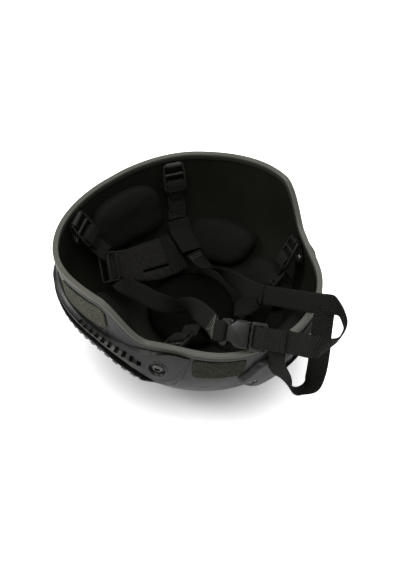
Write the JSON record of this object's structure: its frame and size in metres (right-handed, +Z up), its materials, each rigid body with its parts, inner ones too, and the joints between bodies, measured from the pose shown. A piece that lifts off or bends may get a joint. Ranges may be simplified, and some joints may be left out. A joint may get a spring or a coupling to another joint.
{
  "type": "combat helmet",
  "caption": "Combat helmet lying on its crown, with side rails, a front mount plate, foam pads, and a chin harness with adjusters and a side-release buckle.",
  "frame": {"origin": "middle of the small flat on the crown that the helmet lies on, where a level floor meets it", "axes": "+X towards the front of the helmet, +Y towards the wearer's right, +Z up from the crown to the opening; the helmet lies upside down"},
  "size_m": [0.3211, 0.2772, 0.1679],
  "materials": {
    "shell": "satin",
    "trim": "matt",
    "rail": "satin",
    "bolt": "satin",
    "nut": "bright",
    "bracket": "satin",
    "plate": "satin",
    "screw": "satin",
    "side_patch": "loop pile",
    "front_patch": "loop pile",
    "pad": "brushed cloth",
    "crown_pad": "brushed cloth",
    "hook": "hook tape",
    "adjuster": "satin",
    "webbing": "woven",
    "nape": "woven",
    "buckle": "satin"
  },
  "bodies": {
    "helmet": {"shell": "shell", "edge_trim": "trim", "left_rail": "rail", "right_rail": "rail", "rail_bolts": "bolt", "harness_nuts": "nut", "strap_brackets": "bracket", "front_mount_plate": "plate", "mount_plate_screws": "screw", "left_side_patch": "side_patch", "right_side_patch": "side_patch", "left_front_patch": "front_patch", "right_front_patch": "front_patch", "crown_pad": "crown_pad", "front_pad": "pad", "rear_pad": "pad", "left_front_pad": "pad", "left_rear_pad": "pad", "right_front_pad": "pad", "right_rear_pad": "pad", "pad_hook_discs": "hook", "rear_left_strap": "webbing", "rear_right_strap": "webbing", "front_left_strap": "webbing", "front_right_strap": "webbing", "nape_band": "nape", "nape_sleeve": "nape", "nape_slider": "adjuster", "left_chin_strap": "webbing", "right_chin_strap": "webbing", "chin_front_strap": "webbing", "under_chin_strap": "webbing", "buckle_receiver": "buckle"},
    "rear_left_adjuster_body": {"rear_left_adjuster": "adjuster", "rear_left_webbing_end": "webbing"},
    "rear_right_adjuster_body": {"rear_right_adjuster": "adjuster", "rear_right_webbing_end": "webbing"},
    "front_left_adjuster_body": {"front_left_adjuster": "adjuster", "front_left_webbing_end": "webbing"},
    "front_right_adjuster_body": {"front_right_adjuster": "adjuster", "front_right_webbing_end": "webbing"},
    "plug_body": {"buckle_plug": "buckle", "buckle_webbing_turn": "webbing"},
    "upper_arm_body": {"buckle_arm_upper": "buckle"},
    "lower_arm_body": {"buckle_arm_lower": "buckle"}
  },
  "joints": [
    {"name": "rear_left_adjuster_swing", "type": "hinge", "parent": "helmet", "child": "rear_left_adjuster_body", "pos_m": [-0.1085, -0.06417, 0.14472], "axis": [0.4439, -0.8757, -0.1901], "range_deg": [0, 35]},
    {"name": "rear_right_adjuster_swing", "type": "hinge", "parent": "helmet", "child": "rear_right_adjuster_body", "pos_m": [-0.10544, 0.07046, 0.14472], "axis": [-0.4369, -0.8995, 0], "range_deg": [0, 35]},
    {"name": "front_left_adjuster_swing", "type": "hinge", "parent": "helmet", "child": "front_left_adjuster_body", "pos_m": [0.06798, -0.09351, 0.11574], "axis": [0.7672, 0.4826, 0.4225], "range_deg": [-25, 15]},
    {"name": "front_right_adjuster_swing", "type": "hinge", "parent": "helmet", "child": "front_right_adjuster_body", "pos_m": [0.05261, 0.10287, 0.11674], "axis": [-0.8205, 0.5098, -0.2587], "range_deg": [0, 30]},
    {"name": "buckle_plug_slide", "type": "slide", "parent": "helmet", "child": "plug_body", "axis": [0.8998, 0.3403, 0.2732], "range_m": [0, 0.018], "deforming": ["buckle_arm_upper", "buckle_arm_lower"]},
    {"name": "upper_arm_squeeze", "type": "hinge", "parent": "plug_body", "child": "upper_arm_body", "pos_m": [0.11995, -0.03698, 0.14769], "axis": [0.0602, -0.7169, 0.6946], "range_deg": [0, 7], "stiffness_Nm_per_rad": 0.3},
    {"name": "lower_arm_squeeze", "type": "hinge", "parent": "plug_body", "child": "lower_arm_body", "pos_m": [0.1273, -0.04732, 0.13638], "axis": [-0.0602, 0.7169, -0.6946], "range_deg": [0, 7], "stiffness_Nm_per_rad": 0.3}
  ],
  "couplings": [
    {"joint": "lower_arm_squeeze", "follows": "upper_arm_squeeze", "ratio": 1}
  ]
}
